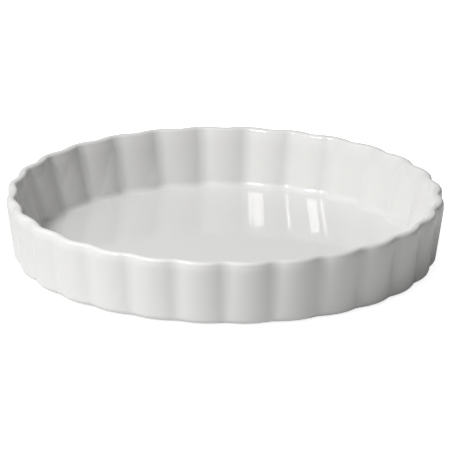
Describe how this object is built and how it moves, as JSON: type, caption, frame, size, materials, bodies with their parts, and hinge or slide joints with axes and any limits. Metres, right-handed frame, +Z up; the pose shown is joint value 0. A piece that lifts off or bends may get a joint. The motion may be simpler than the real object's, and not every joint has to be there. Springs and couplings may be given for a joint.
{
  "type": "fluted quiche dish",
  "caption": "Round fluted quiche dish of white glazed porcelain, with a flat floor, a low flared wall, a rounded lip and a bare foot ring to stand on.",
  "frame": {"origin": "centre of the foot ring's resting face, at the bottom of the dish", "axes": "+Z up along the dish's axis. The flutes repeat round +Z, with a valley between two flutes on each of +X, -X, +Y and -Y"},
  "size_m": [0.2796, 0.2796, 0.0435],
  "materials": {
    "porcelain": "matte, unglazed where it shows",
    "white_glaze": "gloss"
  },
  "bodies": {
    "root": {"porcelain_body": "porcelain", "glaze_coat": "white_glaze", "base_glaze": "white_glaze"}
  },
  "joints": []
}
